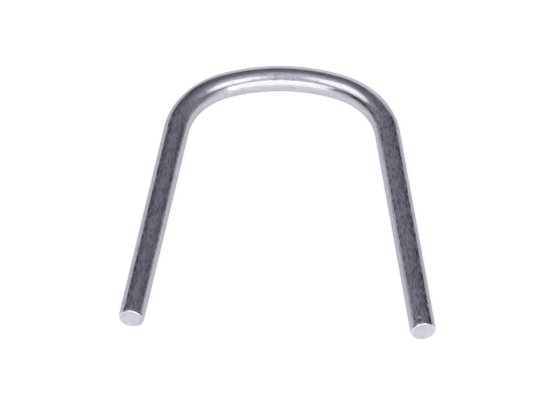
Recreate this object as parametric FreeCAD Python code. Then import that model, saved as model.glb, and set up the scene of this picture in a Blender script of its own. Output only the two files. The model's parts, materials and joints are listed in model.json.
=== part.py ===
"""U-shaped cable needle: one round metal rod, bent cold into a wide U and sawn off square at both ends.

All lengths are in millimetres and all angles in degrees. The needle lies on its side on the plane Z = 0.
+Y points from the open end to the crown of the bend, and +X from the left leg to the right leg. The origin
is under the middle of the needle's outer box. The centreline runs in one plane, half a rod above Z = 0:

    left leg - left corner - crown - right corner - right leg

The crown is a gentle arc and the corners are tighter, and the legs stand a little apart at their free ends.
"""

import FreeCAD
import Part
import math
import os

# Driving dimensions.
ROD_DIAMETER = 4.0
CROWN_RADIUS = 26.4  # centreline radius of the gentle arc across the top of the U
CROWN_TURN = 40.0  # angle that the crown arc takes, shared evenly by its two sides
CORNER_RADIUS = 11.8  # centreline radius of the tighter bend between the crown and each leg
LEG_SPLAY = 9.0  # lean of each leg away from the Y direction, outwards at its free end
LEFT_LEG_LENGTH = 38.5  # straight rod from the end of the corner to the sawn face
RIGHT_LEG_LENGTH = 40.0
END_CHAMFER = 0.2  # deburring of the rim of each sawn face, measured along the rod and across it

# Worked out from the driving dimensions.
ROD_RADIUS = ROD_DIAMETER / 2
LEG_HEADING = 90.0 - LEG_SPLAY  # the way that the left leg climbs towards its corner, from +X
CORNER_TURN = LEG_HEADING - CROWN_TURN / 2
ROD_SECTION = math.pi * ROD_RADIUS**2

UP = FreeCAD.Vector(0, 0, 1)
FOUND_WITHIN = 1e-6  # how near an edge's centre has to be to the place where it is looked for


def along(heading):
    """The horizontal unit vector that points the way of a heading."""
    angle = math.radians(heading)
    return FreeCAD.Vector(math.cos(angle), math.sin(angle), 0)


def rod_disc(centre, heading):
    """The rod's cross-section: a flat round face square to the heading."""
    rim = Part.Wire(Part.makeCircle(ROD_RADIUS, centre, along(heading)))
    return Part.Face(rim)


def straight(start, heading, length):
    """A straight length of rod. Returns its solid and where its centreline ends."""
    step = along(heading) * length
    return rod_disc(start, heading).extrude(step), start + step


def bend(start, heading, radius, turn):
    """A bend to the right. Returns its solid, where its centreline ends and the heading there."""
    centre = start + along(heading - 90.0) * radius
    solid = rod_disc(start, heading).revolve(centre, UP, -turn)
    leaving = heading - turn
    return solid, centre + along(leaving + 90.0) * radius, leaving


def deburred(rod, end_centres):
    """The rod with the rim of each sawn end chamfered."""
    rims = [
        edge
        for edge in rod.Edges
        if any(edge.CenterOfMass.distanceToPoint(centre) < FOUND_WITHIN for centre in end_centres)
    ]
    return rod.makeChamfer(END_CHAMFER, rims)


def bent_rod():
    """The whole needle, from the sawn end of the left leg round to that of the right leg."""
    left_end = FreeCAD.Vector(0, 0, 0)
    left_leg, point = straight(left_end, LEG_HEADING, LEFT_LEG_LENGTH)
    left_corner, point, heading = bend(point, LEG_HEADING, CORNER_RADIUS, CORNER_TURN)
    crown, point, heading = bend(point, heading, CROWN_RADIUS, CROWN_TURN)
    right_corner, point, heading = bend(point, heading, CORNER_RADIUS, CORNER_TURN)
    right_leg, right_end = straight(point, heading, RIGHT_LEG_LENGTH)

    rod = left_leg.multiFuse([left_corner, crown, right_corner, right_leg]).removeSplitter()
    rod = deburred(rod.Solids[0], [left_end, right_end])
    return rod.Solids[0]


def set_on_origin(solid):
    """The solid moved so that its outer box is centred over the origin and stands on Z = 0."""
    box = solid.optimalBoundingBox(False)
    moved = solid.copy()
    moved.translate(FreeCAD.Vector(-box.Center.x, -box.Center.y, -box.ZMin))
    return moved


def centreline_length():
    """How long the straight rod is before it is bent."""
    bends = 2 * CORNER_RADIUS * math.radians(CORNER_TURN) + CROWN_RADIUS * math.radians(CROWN_TURN)
    return LEFT_LEG_LENGTH + bends + RIGHT_LEG_LENGTH


def main():
    os.makedirs("parts", exist_ok=True)
    needle = set_on_origin(bent_rod())
    needle.exportStep("parts/bent_rod.step")

    box = needle.optimalBoundingBox(False)
    print(f"outer box {box.XLength:.2f} x {box.YLength:.2f} x {box.ZLength:.2f} mm")
    print(f"rod before bending {centreline_length():.1f} mm long")
    print(f"volume {needle.Volume:.1f} mm3, section times length {ROD_SECTION * centreline_length():.1f} mm3")


main()
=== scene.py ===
"""The looks of a U-shaped cable needle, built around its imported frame.

The needle is one bright drawn rod, bent into a wide U and sawn off at both ends. It is modelled as one
piece: a circle at the left sawn end, extruded along the left leg, spun round both corners and the crown, and
extruded along the right leg. Its sawn ends are then faced and deburred, and the left one is filed to a flat
on its inner side. Everything is in metres, in the frame's own axes: +X to the right leg, +Y to the crown of
the bend, and +Z up, with the needle lying on Z = 0.
"""

import json
import math

import bmesh
import bpy
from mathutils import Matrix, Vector


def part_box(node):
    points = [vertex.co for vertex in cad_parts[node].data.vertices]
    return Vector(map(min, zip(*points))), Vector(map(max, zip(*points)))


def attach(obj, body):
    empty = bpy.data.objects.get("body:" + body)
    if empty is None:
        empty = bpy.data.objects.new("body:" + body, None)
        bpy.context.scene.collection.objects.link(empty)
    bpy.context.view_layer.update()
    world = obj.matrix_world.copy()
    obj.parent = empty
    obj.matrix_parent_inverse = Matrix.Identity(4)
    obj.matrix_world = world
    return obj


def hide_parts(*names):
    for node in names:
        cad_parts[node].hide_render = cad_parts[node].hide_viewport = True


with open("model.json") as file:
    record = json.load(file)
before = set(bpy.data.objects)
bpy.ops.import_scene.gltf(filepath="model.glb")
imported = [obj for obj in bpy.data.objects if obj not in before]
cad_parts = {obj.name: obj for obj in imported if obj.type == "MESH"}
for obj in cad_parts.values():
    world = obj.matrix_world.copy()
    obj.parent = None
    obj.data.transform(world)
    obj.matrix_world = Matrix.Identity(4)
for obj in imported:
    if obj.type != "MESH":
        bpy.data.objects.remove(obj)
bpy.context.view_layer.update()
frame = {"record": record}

bl_info = {
    "name": "U-shaped cable needle",
    "version": (1, 0, 0),
    "blender": (4, 5, 0),
    "location": "3D View > Sidebar > Needle",
    "description": "Models a bent and sawn metal rod on its packed frame, and the stage it is shown on",
    "category": "Object",
}

MM = 0.001

NODE = "bent_rod"
PIECE = "bent_rod_bright"
STRAIGHTENED = "straightened"  # attribute: each point's place on the rod before it was bent
SKIN, SAWN, RIM = 0, 1, 2  # material indices
FLAT_TILT = math.radians(45)  # how far the filed flat leans back from the sawn face
FLAT_LEAN = math.radians(5)  # how far it is turned down from the inside of the U
RIM_SEGMENTS = 5
FACE_RINGS = 9
EDGE_RING = 0.02 * MM  # width of the thin ring of faces just inside the rim
NICK_CUTS = 3  # cuts across each face that a nick is pressed into
SMOOTH_BELOW = math.radians(35)  # edges that turn by less than this look smooth

WELD = 0.001 * MM  # points as near as this are one point
ON_PLANE = 0.002 * MM  # how far off a sawn face's plane its points may lie
JUST_OUTSIDE = 1.01  # times the rod's radius: none of its points is as far as this from its centreline

NODE_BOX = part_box(NODE)
MOUNTS = {mount["name"]: mount for mount in frame["record"]["mounts"]}
UP = Vector((0, 0, 1))


# The rod's course, read from the frame.


class Leg:
    """One straight leg, as its pin mount states it."""

    def __init__(self, name, end_name):
        pin = MOUNTS[name]
        self.outwards = Vector(pin["axis"]).normalized()
        self.end = Vector(MOUNTS[end_name]["pos_m"])
        middle = Vector(pin["pos_m"])
        self.corner = middle - self.outwards * (pin["dims"]["length_mm"] * MM / 2)
        self.length = (self.end - self.corner).length
        self.radius = pin["dims"]["r_mm"] * MM


LEFT = Leg("left_leg", "left_end")
RIGHT = Leg("right_leg", "right_end")
ROD_RADIUS = LEFT.radius
MIDDLE_X = (LEFT.corner.x + RIGHT.corner.x) / 2
AXIS_Z = LEFT.end.z


class Course:
    """The rod's centreline: left leg, left corner, crown, right corner and right leg."""

    def __init__(self, crown_turn):
        heading = -LEFT.outwards
        self.start_angle = math.atan2(heading.y, heading.x)
        self.half_crown = crown_turn / 2
        self.corner_turn = self.start_angle - self.half_crown
        self.crown_turn = crown_turn
        self.find_radii()
        away = Vector((math.sin(self.start_angle), -math.cos(self.start_angle), 0))
        self.left_centre = LEFT.corner + away * self.corner_radius
        self.right_centre = Vector((2 * MIDDLE_X - self.left_centre.x, self.left_centre.y, AXIS_Z))
        self.crown_centre = Vector((MIDDLE_X, self.crown_top - self.crown_radius, AXIS_Z))
        self.corner_length = self.corner_radius * self.corner_turn
        self.crown_length = self.crown_radius * self.crown_turn
        self.length = LEFT.length + 2 * self.corner_length + self.crown_length + RIGHT.length

    def find_radii(self):
        """The corner and crown radii that carry the rod from leg to leg, right up to the box's far side."""
        self.crown_top = NODE_BOX[1].y - ROD_RADIUS
        across = MIDDLE_X - LEFT.corner.x
        rise = self.crown_top - LEFT.corner.y
        sines = math.sin(self.start_angle), math.sin(self.half_crown)
        cosines = math.cos(self.start_angle), math.cos(self.half_crown)
        corner_across, crown_across = sines[0] - sines[1], sines[1]
        corner_rise, crown_rise = cosines[1] - cosines[0], 1 - cosines[1]
        scale = corner_across * crown_rise - crown_across * corner_rise
        self.corner_radius = (across * crown_rise - crown_across * rise) / scale
        self.crown_radius = (corner_across * rise - across * corner_rise) / scale

    def straighten(self, point):
        """Where a point was before bending: (towards the inside of the U, up, along from the left end)."""
        if point.x < MIDDLE_X:
            side, along = self.on_half(point, LEFT, self.left_centre, 1)
        else:
            side, along = self.on_half(point, RIGHT, self.right_centre, -1)
            along = self.length - along
        return side, point.z - AXIS_Z, along

    def on_half(self, point, leg, centre, hand):
        """(towards the inside, along from that leg's sawn end) for a point on one half of the U."""
        flat = Vector((point.x, point.y, AXIS_Z))
        past_corner = (leg.corner - flat).dot(leg.outwards)
        if past_corner < 0:
            inwards = (UP * hand).cross(leg.outwards)
            return (flat - leg.corner).dot(inwards), leg.length + past_corner
        from_crown = flat - self.crown_centre
        off_middle = math.atan2(abs(from_crown.x), from_crown.y)
        if off_middle < self.half_crown:
            past_bend = (self.half_crown - off_middle) * self.crown_radius
            return self.crown_radius - from_crown.length, leg.length + self.corner_length + past_bend
        spoke = flat - centre
        first = (leg.corner - centre).angle(spoke)
        return self.corner_radius - spoke.length, leg.length + first * self.corner_radius


# Sizes, colours and lights that a user would change.


class NeedleShape(bpy.types.PropertyGroup):
    """How the rod is bent, and how finely it is modelled."""

    crown_turn: bpy.props.FloatProperty(
        name="Crown turn",
        description="Angle that the gentle arc across the top of the U takes",
        default=math.radians(40),
        subtype="ANGLE",
    )
    ring_spacing: bpy.props.FloatProperty(
        name="Ring spacing",
        description="Distance along the rod from one ring of points to the next",
        default=0.25 * MM,
        unit="LENGTH",
        precision=5,
    )
    sides: bpy.props.IntProperty(
        name="Sides",
        description="Points in each ring",
        default=128,
    )
    deburr: bpy.props.FloatProperty(
        name="Deburring",
        description="Width of the rounded rim of each sawn end",
        default=0.2 * MM,
        unit="LENGTH",
        precision=5,
    )
    rim_wander: bpy.props.FloatProperty(
        name="Rim wander",
        description="How far the hand-filed rim wanders from a true circle",
        default=0.08 * MM,
        unit="LENGTH",
        precision=5,
    )
    flat_width: bpy.props.FloatProperty(
        name="Flat width",
        description="How far the flat filed on the left end's inner side reaches into its sawn face",
        default=0.62 * MM,
        unit="LENGTH",
        precision=5,
    )
    waviness: bpy.props.FloatProperty(
        name="Waviness",
        description="How far the drawn surface dips below a true cylinder",
        default=0.012 * MM,
        unit="LENGTH",
        precision=6,
    )


class NeedleFinish(bpy.types.PropertyGroup):
    """Colours and polish of the metal."""

    metal: bpy.props.FloatVectorProperty(
        name="Metal",
        description="Colour of the bright drawn surface",
        default=(0.575, 0.57, 0.585),
        subtype="COLOR",
        size=3,
        min=0,
        max=1,
    )
    sawn: bpy.props.FloatVectorProperty(
        name="Sawn metal",
        description="Colour of the freshly cut ends",
        default=(0.645, 0.635, 0.645),
        subtype="COLOR",
        size=3,
        min=0,
        max=1,
    )
    rim: bpy.props.FloatVectorProperty(
        name="Filed rim",
        description="Colour of the bright rims round the cut ends",
        default=(0.82, 0.81, 0.83),
        subtype="COLOR",
        size=3,
        min=0,
        max=1,
    )
    polish: bpy.props.FloatProperty(
        name="Polished roughness",
        description="Roughness of the smooth skin between the specks",
        default=0.12,
        subtype="FACTOR",
        min=0,
        max=1,
    )
    speck: bpy.props.FloatProperty(
        name="Speck roughness",
        description="Roughness of the fine specks and drawing lines",
        default=0.6,
        subtype="FACTOR",
        min=0,
        max=1,
    )
    bend_wear: bpy.props.FloatProperty(
        name="Wear at the bends",
        description="Share of the specks that is left on the crown, where the rod was polished by bending",
        default=0.15,
        subtype="FACTOR",
        min=0,
        max=1,
    )


class NeedleStage(bpy.types.PropertyGroup):
    """The floor, the lights and the camera."""

    azimuth: bpy.props.FloatProperty(
        name="Azimuth",
        description="Camera's place round the needle, from straight in front of the open end",
        default=math.radians(1.3),
        subtype="ANGLE",
    )
    elevation: bpy.props.FloatProperty(
        name="Elevation",
        description="Camera's height above the floor, as an angle",
        default=math.radians(51.5),
        subtype="ANGLE",
    )
    picture_width: bpy.props.FloatProperty(
        name="Picture width",
        description="Width of what the camera sees at the needle",
        default=85.96 * MM,
        unit="LENGTH",
    )
    aim: bpy.props.FloatVectorProperty(
        name="Aim",
        description="Point in the middle of the picture",
        default=(-1.01 * MM, -2.31 * MM, AXIS_Z),
        subtype="XYZ",
        unit="LENGTH",
        size=3,
        precision=5,
    )
    softbox: bpy.props.FloatProperty(
        name="Softbox brightness",
        description="Radiance of the two round softboxes",
        default=1.01,
    )
    floor: bpy.props.FloatVectorProperty(
        name="Floor",
        description="Colour of the glossy white table",
        default=(0.79, 0.785, 0.82),
        subtype="COLOR",
        size=3,
        min=0,
        max=1,
    )


# Selecting, and applying modifiers.


def deselect_all():
    """Nothing is selected or active, and Blender is in object mode."""
    if bpy.context.object and bpy.context.object.mode != "OBJECT":
        bpy.ops.object.mode_set(mode="OBJECT")
    bpy.ops.object.select_all(action="DESELECT")
    bpy.context.view_layer.objects.active = None


def select_only(piece):
    """The piece alone is selected and active, in object mode."""
    deselect_all()
    piece.select_set(True)
    bpy.context.view_layer.objects.active = piece


def select_edges(piece, wanted):
    """In edit mode, selects the edges that the test picks and nothing else. Returns how many there are."""
    bpy.ops.mesh.select_mode(type="EDGE")
    bpy.ops.mesh.select_all(action="DESELECT")
    mesh = bmesh.from_edit_mesh(piece.data)
    for edge in mesh.edges:
        edge.select_set(wanted(edge))
    bmesh.update_edit_mesh(piece.data)
    return sum(edge.select for edge in mesh.edges)


def select_faces(piece, wanted):
    """In edit mode, selects the faces that the test picks and nothing else."""
    bpy.ops.mesh.select_mode(type="FACE")
    bpy.ops.mesh.select_all(action="DESELECT")
    mesh = bmesh.from_edit_mesh(piece.data)
    for face in mesh.faces:
        face.select_set(wanted(face))
    bmesh.update_edit_mesh(piece.data)


def apply_modifier(piece, kind, **settings):
    """Adds a modifier to the piece, sets it and applies it."""
    select_only(piece)
    modifier = piece.modifiers.new(kind.title(), kind)
    for name, value in settings.items():
        setattr(modifier, name, value)
    bpy.ops.object.modifier_apply(modifier=modifier.name)


# The rod.


def sawn_circle(leg, sides):
    """A circle of points round the rod at a sawn end, square to the leg."""
    deselect_all()
    square_to_leg = (-leg.outwards).to_track_quat("Z", "Y").to_euler()
    bpy.ops.mesh.primitive_circle_add(
        vertices=sides, radius=ROD_RADIUS, location=leg.end, rotation=square_to_leg
    )
    piece = bpy.context.object
    piece.name = PIECE
    piece.data.name = PIECE
    bpy.ops.object.transform_apply(location=True, rotation=True, scale=True)
    return piece


def spin_bend(centre, turn, radius, spacing):
    """Spins the selected ring round a bend to the right."""
    steps = round(turn * radius / spacing)
    bpy.ops.mesh.spin(steps=steps, angle=turn, center=centre, axis=UP)


def sweep_rod(course, shape):
    """The open tube from the left sawn end round to the right one, with rings of points all along it."""
    piece = sawn_circle(LEFT, shape.sides)
    bpy.ops.object.mode_set(mode="EDIT")
    bpy.ops.mesh.select_all(action="SELECT")
    bpy.ops.mesh.extrude_region_move(TRANSFORM_OT_translate={"value": -LEFT.outwards * LEFT.length})
    spin_bend(course.left_centre, course.corner_turn, course.corner_radius, shape.ring_spacing)
    spin_bend(course.crown_centre, course.crown_turn, course.crown_radius, shape.ring_spacing)
    spin_bend(course.right_centre, course.corner_turn, course.corner_radius, shape.ring_spacing)
    bpy.ops.mesh.extrude_region_move(TRANSFORM_OT_translate={"value": RIGHT.outwards * RIGHT.length})
    ring_legs(piece, shape.ring_spacing)
    bpy.ops.mesh.select_all(action="SELECT")
    bpy.ops.mesh.remove_doubles(threshold=WELD)
    return piece


def ring_legs(piece, spacing):
    """Divides each leg's long faces into rings, as close together as those of the bends."""
    for leg, side in ((LEFT, -1), (RIGHT, 1)):
        shortest = leg.length * 0.9
        select_edges(
            piece,
            lambda edge: edge.calc_length() > shortest and edge.verts[0].co.x * side > 0,
        )
        bpy.ops.mesh.subdivide(number_cuts=round(leg.length / spacing) - 1)


def in_end_plane(leg, point):
    """Whether a point lies in a leg's sawn face."""
    from_end = point - leg.end
    on_plane = abs(from_end.dot(leg.outwards)) < ON_PLANE
    return on_plane and from_end.length < JUST_OUTSIDE * ROD_RADIUS


def cap_end(piece, leg, sides):
    """Closes a sawn end with one flat face."""
    open_edges = select_edges(
        piece,
        lambda edge: edge.is_boundary and all(in_end_plane(leg, vertex.co) for vertex in edge.verts),
    )
    if open_edges != sides:
        raise RuntimeError("the bends didn't bring the rod to its sawn end")
    bpy.ops.mesh.edge_face_add()


def deburr_end(piece, leg, shape):
    """Rounds the rim of a sawn end, as a file does."""
    select_edges(
        piece,
        lambda edge: all(in_end_plane(leg, vertex.co) for vertex in edge.verts),
    )
    bpy.ops.mesh.bevel(
        offset=shape.deburr, segments=RIM_SEGMENTS, profile=0.5, affect="EDGES", clamp_overlap=True
    )


def ring_sawn_face(piece, leg, shape):
    """Divides the flat sawn face into rings about its middle, so that it can be uneven."""
    select_faces(
        piece,
        lambda face: in_end_plane(leg, face.calc_center_median())
        and abs(face.normal.dot(leg.outwards)) > 0.99,
    )
    bpy.ops.mesh.inset(thickness=EDGE_RING)
    flat_radius = ROD_RADIUS - shape.deburr - EDGE_RING
    for _ in range(FACE_RINGS - 1):
        bpy.ops.mesh.inset(thickness=flat_radius / FACE_RINGS)
    bpy.ops.mesh.poke()


def file_flat(piece, leg, width, lean):
    """Files a flat across one side of a sawn end, and leaves it as pale as the sawn face.

    Lean turns it down from the inside of the U.
    """
    inwards = UP.cross(leg.outwards)
    sideways = inwards * math.cos(lean) - UP * math.sin(lean)
    select_faces(piece, lambda face: (face.calc_center_median() - leg.end).length < 2 * ROD_RADIUS)
    bpy.ops.mesh.bisect(
        plane_co=leg.end + sideways * (ROD_RADIUS - width),
        plane_no=leg.outwards * math.cos(FLAT_TILT) + sideways * math.sin(FLAT_TILT),
        use_fill=True,
        clear_outer=True,
        threshold=WELD,
    )
    mesh = bmesh.from_edit_mesh(piece.data)
    for face in mesh.faces:
        if face.select:
            face.material_index = SAWN
    bmesh.update_edit_mesh(piece.data)


def rim_points(piece, leg, shape):
    """The points of a sawn end's rounded rim, by number."""
    deepest = 1.02 * shape.deburr
    inner = ROD_RADIUS - 1.15 * shape.deburr
    outer = JUST_OUTSIDE * ROD_RADIUS
    found = []
    for vertex in piece.data.vertices:
        from_end = vertex.co - leg.end
        depth = -from_end.dot(leg.outwards)
        off_axis = (from_end + leg.outwards * depth).length
        if depth < deepest and inner < off_axis < outer:
            found.append(vertex.index)
    return found


def clouds(name, size, depth):
    """A cloudy texture for a Displace modifier."""
    texture = bpy.data.textures.new(name, "CLOUDS")
    texture.noise_scale = size
    texture.noise_depth = depth
    return texture


def wear_surface(piece, shape):
    """Lets the filed rims wander and the drawn surface dip, but only inwards: the rod keeps its size."""
    rim = piece.vertex_groups.new(name="rim")
    for leg in (LEFT, RIGHT):
        rim.add(rim_points(piece, leg, shape), 1.0, "REPLACE")
    apply_modifier(
        piece,
        "DISPLACE",
        texture=clouds("filed rim", size=0.7 * MM, depth=1),
        vertex_group="rim",
        strength=shape.rim_wander,
        mid_level=1.0,
    )
    apply_modifier(
        piece,
        "DISPLACE",
        texture=clouds("drawn skin", size=5 * MM, depth=2),
        strength=shape.waviness,
        mid_level=1.0,
    )


# Small nicks: how far along the rod from the left sawn end, how far round from the inside of the U, and how
# wide and how deep each one is.
NICKS = (
    (120.7 * MM, math.radians(75), 1.1 * MM, 0.07 * MM),
    (82.0 * MM, math.radians(76), 0.9 * MM, 0.05 * MM),
    (3.6 * MM, math.radians(112), 0.5 * MM, 0.03 * MM),
    (19.5 * MM, math.radians(60), 0.6 * MM, 0.02 * MM),
    (101.0 * MM, math.radians(95), 0.6 * MM, 0.02 * MM),
    (58.0 * MM, math.radians(250), 0.7 * MM, 0.03 * MM),
)


def nick_spots(piece, course):
    """Where each nick goes on the bent rod: its place, the way in, its width and its depth."""
    places = [Vector(course.straighten(vertex.co)) for vertex in piece.data.vertices]
    spots = []
    for along, round_rod, width, depth in NICKS:
        target = Vector((ROD_RADIUS * math.cos(round_rod), ROD_RADIUS * math.sin(round_rod), along))
        nearest = min(range(len(places)), key=lambda index: (places[index] - target).length_squared)
        vertex = piece.data.vertices[nearest]
        spots.append((vertex.co.copy(), -vertex.normal, width, depth))
    return spots


def nick(piece, bottom, inwards, width, depth):
    """Presses one small nick into the surface."""
    select_only(piece)
    bpy.ops.object.mode_set(mode="EDIT")
    select_faces(piece, lambda face: (face.calc_center_median() - bottom).length < 0.6 * width)
    bpy.ops.mesh.subdivide(number_cuts=NICK_CUTS)
    bpy.ops.mesh.select_mode(type="VERT")
    bpy.ops.mesh.select_all(action="DESELECT")
    mesh = bmesh.from_edit_mesh(piece.data)
    min(mesh.verts, key=lambda vertex: (vertex.co - bottom).length_squared).select_set(True)
    bmesh.update_edit_mesh(piece.data)
    bpy.ops.transform.translate(
        value=inwards * depth,
        use_proportional_edit=True,
        proportional_edit_falloff="SMOOTH",
        proportional_size=width / 2,
    )
    bpy.ops.object.mode_set(mode="OBJECT")


def keep_straightened_places(piece, course):
    """Stores where each point was on the straight rod, so that the drawing lines follow the bends."""
    attribute = piece.data.attributes.new(STRAIGHTENED, "FLOAT_VECTOR", "POINT")
    for vertex, value in zip(piece.data.vertices, attribute.data):
        value.vector = course.straighten(vertex.co)


def paint_faces(piece, shape):
    """Gives the sawn faces and their rims their own materials. The filed flat has its own already."""
    for face in piece.data.polygons:
        for leg in (LEFT, RIGHT):
            from_end = face.center - leg.end
            depth = -from_end.dot(leg.outwards)
            near_end = depth < shape.deburr and from_end.length < 1.1 * ROD_RADIUS
            if near_end and face.material_index == SKIN:
                off_axis = (from_end + leg.outwards * depth).length
                face.material_index = SAWN if off_axis < ROD_RADIUS - shape.deburr else RIM


# Materials.

EDGE_TINT = (0.7, 0.7, 0.72, 1)  # colour of the metal's reflection at a glancing angle

# Wear on each leg: how far along the rod it starts and is full, and how much is added to that of the bends.
LEFT_WEAR = (52 * MM, 38 * MM, 0.26)
RIGHT_WEAR = (72 * MM, 82 * MM, 0.32)

SAW_ANGLE = math.radians(24)  # how far the saw's scores are turned on the sawn face


class Nodes:
    """A material's or world's node tree, with short ways to add nodes and links."""

    def __init__(self, owner):
        owner.use_nodes = True
        self.tree = owner.node_tree
        self.tree.nodes.clear()

    def add(self, kind, **settings):
        """A new node of a kind, with each setting put on the socket or the property of that name."""
        node = self.tree.nodes.new("ShaderNode" + kind)
        for name, value in settings.items():
            if name in node.inputs:
                node.inputs[name].default_value = value
            else:
                setattr(node, name, value)
        return node

    def link(self, output, socket):
        """Feeds an output to a socket."""
        self.tree.links.new(output, socket)

    def math(self, operation, first, second):
        """The result of a math operation on two outputs or numbers."""
        node = self.add("Math", operation=operation)
        for socket, value in zip(node.inputs, (first, second)):
            if isinstance(value, (int, float)):
                socket.default_value = value
            else:
                self.link(value, socket)
        return node.outputs[0]

    def spread(self, output, low, high, to_low=0.0, to_high=1.0):
        """The output taken smoothly from one range to another."""
        node = self.add("MapRange", interpolation_type="SMOOTHSTEP")
        for name, value in (("From Min", low), ("From Max", high), ("To Min", to_low), ("To Max", to_high)):
            node.inputs[name].default_value = value
        self.link(output, node.inputs["Value"])
        return node.outputs["Result"]


def rod_noise(nodes, size, detail, stretch=(1, 1, 1), turn=0.0):
    """Noise on the straightened rod. Stretch is how much longer its marks are sideways, up and along."""
    place = nodes.add("Attribute", attribute_name=STRAIGHTENED)
    mapping = nodes.add("Mapping", Rotation=(0, 0, turn), Scale=[1 / times for times in stretch])
    noise = nodes.add("TexNoise", Scale=1 / size, Detail=detail, Roughness=0.6)
    nodes.link(place.outputs["Vector"], mapping.inputs["Vector"])
    nodes.link(mapping.outputs["Vector"], noise.inputs["Vector"])
    return noise.outputs[0]


def metal_shader(nodes, colour, dark_share, shade, roughness, height, relief):
    """A metal whose roughness and height follow the given outputs.

    Where shade is 1, only the dark share of the colour is left. Relief is the depth of a height of 1.
    """
    dark = nodes.add("Mix", data_type="RGBA")
    dark.inputs[6].default_value = (*colour, 1)
    dark.inputs[7].default_value = (*(channel * dark_share for channel in colour), 1)
    nodes.link(shade, dark.inputs["Factor"])
    bump = nodes.add("Bump", Strength=1.0, Distance=relief)
    nodes.link(height, bump.inputs["Height"])
    metal = nodes.add("BsdfPrincipled", Metallic=1.0)
    metal.inputs["Specular Tint"].default_value = EDGE_TINT
    nodes.link(dark.outputs[2], metal.inputs["Base Color"])
    nodes.link(roughness, metal.inputs["Roughness"])
    nodes.link(bump.outputs["Normal"], metal.inputs["Normal"])
    output = nodes.add("OutputMaterial")
    nodes.link(metal.outputs["BSDF"], output.inputs["Surface"])


def wear_along(nodes, finish):
    """How worn the surface is: much the same all along each leg, and least round the bends."""
    place = nodes.add("Attribute", attribute_name=STRAIGHTENED)
    parts = nodes.add("SeparateXYZ")
    nodes.link(place.outputs["Vector"], parts.inputs[0])
    along = parts.outputs["Z"]
    wear = []
    for start, full, most in (LEFT_WEAR, RIGHT_WEAR):
        wear.append(nodes.spread(along, start, full, to_high=most))
    return nodes.math("ADD", nodes.math("ADD", *wear), finish.bend_wear)


def bright_skin(finish):
    """The drawn surface: a soft mirror with fine specks and lines that run along the rod."""
    material = bpy.data.materials.new("bright_drawn_skin")
    nodes = Nodes(material)
    specks = rod_noise(nodes, size=0.3 * MM, detail=4, stretch=(1, 1, 3))
    lines = rod_noise(nodes, size=0.22 * MM, detail=3, stretch=(1, 1, 12))
    patches = rod_noise(nodes, size=3.0 * MM, detail=2, stretch=(1, 1, 1.5))
    marks = nodes.math("ADD", nodes.math("MULTIPLY", specks, 0.7), nodes.math("MULTIPLY", lines, 0.3))
    marks = nodes.math("ADD", marks, nodes.math("MULTIPLY", patches, 0.1))
    wear = wear_along(nodes, finish)
    scuffed = nodes.math("MULTIPLY", nodes.spread(marks, 0.5, 0.6), wear)
    rougher = nodes.math("MULTIPLY", scuffed, finish.speck - finish.polish)
    roughness = nodes.math("ADD", rougher, finish.polish)
    pitted = nodes.spread(wear, finish.bend_wear, finish.bend_wear + 0.3, to_low=0.42, to_high=0.8)
    pits = nodes.math("MULTIPLY", nodes.spread(marks, 0.56, 0.44), pitted)
    height = nodes.math("ADD", specks, nodes.math("MULTIPLY", lines, 0.5))
    relief = 0.01 * MM
    metal_shader(nodes, finish.metal, 0.64, shade=pits, roughness=roughness, height=height, relief=relief)
    return material


def sawn_face(finish):
    """The sawn end: pale, matt and scored one way by the saw."""
    material = bpy.data.materials.new("sawn_face")
    nodes = Nodes(material)
    scores = rod_noise(nodes, size=0.12 * MM, detail=3, stretch=(1, 25, 1), turn=SAW_ANGLE)
    blotches = rod_noise(nodes, size=1.2 * MM, detail=2)
    roughness = nodes.spread(blotches, 0.3, 0.7, to_low=0.38, to_high=0.5)
    marks = nodes.math("ADD", blotches, nodes.math("MULTIPLY", scores, 0.6))
    shade = nodes.spread(marks, 0.6, 1.0)
    relief = 0.012 * MM
    metal_shader(nodes, finish.sawn, 0.92, shade=shade, roughness=roughness, height=scores, relief=relief)
    return material


def filed_rim(finish):
    """The rim of a sawn end, left bright by the file."""
    material = bpy.data.materials.new("filed_rim")
    nodes = Nodes(material)
    marks = rod_noise(nodes, size=0.25 * MM, detail=3, stretch=(1, 1, 0.5))
    roughness = nodes.spread(marks, 0.3, 0.7, to_low=0.16, to_high=0.3)
    relief = 0.008 * MM
    metal_shader(nodes, finish.rim, 0.9, shade=marks, roughness=roughness, height=marks, relief=relief)
    return material


class NEEDLE_OT_bent_rod(bpy.types.Operator):
    """Models the whole bent rod, from one sawn end to the other"""

    bl_idname = "needle.bent_rod"
    bl_label = "Bent rod"

    def execute(self, context):
        shape, finish = context.scene.needle_shape, context.scene.needle_finish
        course = Course(shape.crown_turn)
        piece = sweep_rod(course, shape)
        for leg in (LEFT, RIGHT):
            cap_end(piece, leg, shape.sides)
            deburr_end(piece, leg, shape)
            ring_sawn_face(piece, leg, shape)
        file_flat(piece, LEFT, shape.flat_width, FLAT_LEAN)
        bpy.ops.mesh.select_all(action="SELECT")
        bpy.ops.mesh.normals_make_consistent(inside=False)
        bpy.ops.object.mode_set(mode="OBJECT")
        wear_surface(piece, shape)
        for spot in nick_spots(piece, course):
            nick(piece, *spot)
        keep_straightened_places(piece, course)
        for material in (bright_skin(finish), sawn_face(finish), filed_rim(finish)):
            piece.data.materials.append(material)
        paint_faces(piece, shape)
        select_only(piece)
        bpy.ops.object.shade_smooth_by_angle(angle=SMOOTH_BELOW)
        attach(piece, "root")
        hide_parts(NODE)
        return {"FINISHED"}


# The stage. The angles in its constants are in degrees.

FLOOR_SIZE = 2.4
FLOOR_DROP = 0.02 * MM  # how far the floor lies below the needle

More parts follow.
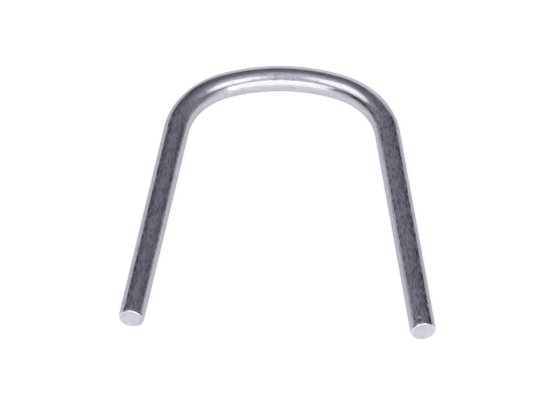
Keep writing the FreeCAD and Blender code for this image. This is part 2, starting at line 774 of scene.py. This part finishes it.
# Softboxes: azimuth, elevation and the radius each looks to have from the needle.
SOFTBOXES = {"softbox_left": (-70, 58, 21.5), "softbox_right": (51, 61, 17.5)}
SOFTBOX_DISTANCE = 0.6
CARD_SIZE = (0.57, 0.3)
CARD_PLACE = Vector((0.02, -0.45, 0.15))
CARD_OVER_SOFTBOX = 1.36  # how much brighter the white card is than the softboxes

# How brightly the floor glows, as the camera sees it and as the metal mirrors it.
FLOOR_GLOW_SEEN = 0.58
FLOOR_GLOW_MIRRORED = 0.44

# The room's colours: dim low down, a little less so overhead, pale at the sweep, and lighter over the camera.
ROOM_LOW = (0.068, 0.068, 0.09)
ROOM_HIGH = (0.235, 0.235, 0.3)
SWEEP = (0.97, 0.96, 1.03)
CEILING = (0.76, 0.76, 0.85)

SWEEP_TOP = 9  # elevation that the white sweep fades out at

# Places in the room: azimuth, elevation, and the radii that each is full within and gone beyond.
OVER_CAMERA = (0, 64, 18, 58)
BACK_WALL = (172, 0, 14, 30)
DARK_CORNER = (136, 7, 4, 15)

# Glows on the room's walls: each one's place, as above, and its level.
WALL_GLOWS = (
    (86, 26, 6, 40, 0.3),
    (-104, 42, 10, 34, 0.3),
    (55, 2, 4, 24, 0.5),
    (40, 10, 3, 18, 1.0),
    (-45, 2, 4, 20, 0.36),
    (-119, 2, 4, 12, 0.7),
)


def direction(azimuth, elevation):
    """The way out from the needle at an azimuth, from straight in front of the open end, and an elevation."""
    azimuth, elevation = math.radians(azimuth), math.radians(elevation)
    level = math.cos(elevation)
    return Vector((math.sin(azimuth) * level, -math.cos(azimuth) * level, math.sin(elevation)))


def lamp(name, shape, width, height, place, brightness):
    """A lamp that faces the needle, with a given radiance. The camera doesn't see it."""
    data = bpy.data.lights.new(name, "AREA")
    data.shape = shape
    data.size = width
    data.size_y = height
    area = width * height * (math.pi / 4 if shape == "DISK" else 1)
    data.energy = brightness * math.pi * area
    lamp_object = bpy.data.objects.new(name, data)
    lamp_object.location = place
    lamp_object.rotation_mode = "QUATERNION"
    lamp_object.rotation_quaternion = place.to_track_quat("Z", "Y")
    lamp_object.visible_camera = False
    bpy.context.scene.collection.objects.link(lamp_object)
    return lamp_object


def softbox(name, azimuth, elevation, angular_radius, brightness):
    """A round softbox, by where the needle sees it and how large it looks from there."""
    width = 2 * SOFTBOX_DISTANCE * math.tan(math.radians(angular_radius))
    return lamp(name, "DISK", width, width, direction(azimuth, elevation) * SOFTBOX_DISTANCE, brightness)


def white_table(stage):
    """The glossy white floor. It keeps the needle's shadow, and can be seen through from below."""
    deselect_all()
    bpy.ops.mesh.primitive_plane_add(size=FLOOR_SIZE, location=(0, 0, -FLOOR_DROP))
    floor = bpy.context.object
    floor.name = "floor"
    material = bpy.data.materials.new("white_table")
    material.cycles.emission_sampling = "NONE"
    nodes = Nodes(material)
    gloss = nodes.add("BsdfPrincipled", Roughness=0.22)
    gloss.inputs["Base Color"].default_value = (*stage.floor, 1)
    path = nodes.add("LightPath")
    mirrored = nodes.math("ADD", path.outputs["Is Glossy Ray"], path.outputs["Is Transmission Ray"])
    seen = nodes.math(
        "ADD",
        nodes.math("MULTIPLY", path.outputs["Is Camera Ray"], FLOOR_GLOW_SEEN),
        nodes.math("MULTIPLY", mirrored, FLOOR_GLOW_MIRRORED),
    )
    glow = nodes.add("Emission", Color=(1, 1, 1, 1))
    nodes.link(seen, glow.inputs["Strength"])
    table = nodes.add("AddShader")
    nodes.link(gloss.outputs["BSDF"], table.inputs[0])
    nodes.link(glow.outputs["Emission"], table.inputs[1])
    clear = nodes.add("BsdfTransparent")
    sides = nodes.add("NewGeometry")
    both = nodes.add("MixShader")
    nodes.link(sides.outputs["Backfacing"], both.inputs[0])
    nodes.link(table.outputs[0], both.inputs[1])
    nodes.link(clear.outputs[0], both.inputs[2])
    output = nodes.add("OutputMaterial")
    nodes.link(both.outputs[0], output.inputs["Surface"])
    floor.data.materials.append(material)


def lobe(nodes, ray, azimuth, elevation, inner, outer):
    """1 within the inner angle of a direction, falling to 0 at the outer angle."""
    toward = nodes.add("VectorMath", operation="DOT_PRODUCT")
    toward.inputs[1].default_value = direction(azimuth, elevation)
    nodes.link(ray, toward.inputs[0])
    return nodes.spread(
        toward.outputs["Value"], math.cos(math.radians(outer)), math.cos(math.radians(inner))
    )


def mixed(nodes, factor, first, second):
    """One colour or output turned into another by a factor."""
    node = nodes.add("Mix", data_type="RGBA")
    nodes.link(factor, node.inputs[0])
    for socket, value in ((node.inputs[6], first), (node.inputs[7], second)):
        if isinstance(value, tuple):
            socket.default_value = (*value, 1)
        else:
            nodes.link(value, socket)
    return node.outputs[2]


def studio_world():
    """A dim room over a white sweep: pale from the horizon down and behind, and lighter over the camera.

    Glows break up its walls, and one corner is dark.
    """
    world = bpy.data.worlds.new("studio")
    bpy.context.scene.world = world
    nodes = Nodes(world)
    ray = nodes.add("TexCoord").outputs["Generated"]
    height = nodes.add("SeparateXYZ")
    nodes.link(ray, height.inputs[0])
    overhead = nodes.spread(height.outputs["Z"], 0.1, 1.0)
    room = mixed(nodes, overhead, ROOM_LOW, ROOM_HIGH)
    for azimuth, elevation, inner, outer, level in WALL_GLOWS:
        glow = lobe(nodes, ray, azimuth, elevation, inner, outer)
        room = mixed(nodes, glow, room, (level, level, 1.25 * level))
    room = mixed(nodes, lobe(nodes, ray, *OVER_CAMERA), room, CEILING)
    horizon = nodes.spread(height.outputs["Z"], math.sin(math.radians(SWEEP_TOP)), 0.0)
    room = mixed(nodes, horizon, room, SWEEP)
    room = mixed(nodes, lobe(nodes, ray, *BACK_WALL), room, SWEEP)
    room = mixed(nodes, lobe(nodes, ray, *DARK_CORNER), room, ROOM_LOW)
    background = nodes.add("Background", Strength=1.0)
    nodes.link(room, background.inputs["Color"])
    output = nodes.add("OutputWorld")
    nodes.link(background.outputs[0], output.inputs["Surface"])


def set_camera(stage):
    """A long lens, so that the needle is seen almost without perspective."""
    data = bpy.data.cameras.new("camera")
    data.lens = 800
    data.sensor_width = 36
    camera = bpy.data.objects.new("camera", data)
    back = direction(math.degrees(stage.azimuth), math.degrees(stage.elevation))
    distance = stage.picture_width * data.lens / data.sensor_width
    camera.location = Vector(stage.aim) + back * distance
    camera.rotation_mode = "QUATERNION"
    camera.rotation_quaternion = back.to_track_quat("Z", "Y")
    data.clip_start = 0.01
    data.clip_end = 10
    bpy.context.scene.collection.objects.link(camera)
    bpy.context.scene.camera = camera


class NEEDLE_OT_stage(bpy.types.Operator):
    """Sets up the floor, the room, the softboxes and the camera"""

    bl_idname = "needle.stage"
    bl_label = "Stage"

    def execute(self, context):
        stage = context.scene.needle_stage
        white_table(stage)
        studio_world()
        for name, place in SOFTBOXES.items():
            softbox(name, *place, stage.softbox)
        lamp("white_card", "RECTANGLE", *CARD_SIZE, CARD_PLACE, CARD_OVER_SOFTBOX * stage.softbox)
        set_camera(stage)
        context.scene.view_settings.view_transform = "Standard"
        return {"FINISHED"}


class NEEDLE_PT_sidebar(bpy.types.Panel):
    """The needle's pieces and stage"""

    bl_label = "Cable needle"
    bl_idname = "NEEDLE_PT_sidebar"
    bl_space_type = "VIEW_3D"
    bl_region_type = "UI"
    bl_category = "Needle"

    def draw(self, context):
        scene = context.scene
        for group, operator in (
            (scene.needle_shape, NEEDLE_OT_bent_rod),
            (scene.needle_finish, None),
            (scene.needle_stage, NEEDLE_OT_stage),
        ):
            box = self.layout.box()
            for name in group.__annotations__:
                box.prop(group, name)
            if operator:
                box.operator(operator.bl_idname)


CLASSES = (NeedleShape, NeedleFinish, NeedleStage, NEEDLE_OT_bent_rod, NEEDLE_OT_stage, NEEDLE_PT_sidebar)


def register():
    for item in CLASSES:
        bpy.utils.register_class(item)
    bpy.types.Scene.needle_shape = bpy.props.PointerProperty(type=NeedleShape)
    bpy.types.Scene.needle_finish = bpy.props.PointerProperty(type=NeedleFinish)
    bpy.types.Scene.needle_stage = bpy.props.PointerProperty(type=NeedleStage)


def unregister():
    del bpy.types.Scene.needle_stage
    del bpy.types.Scene.needle_finish
    del bpy.types.Scene.needle_shape
    for item in reversed(CLASSES):
        bpy.utils.unregister_class(item)


def main():
    register()
    bpy.ops.needle.bent_rod()
    bpy.ops.needle.stage()


if __name__ == "__main__":
    main()
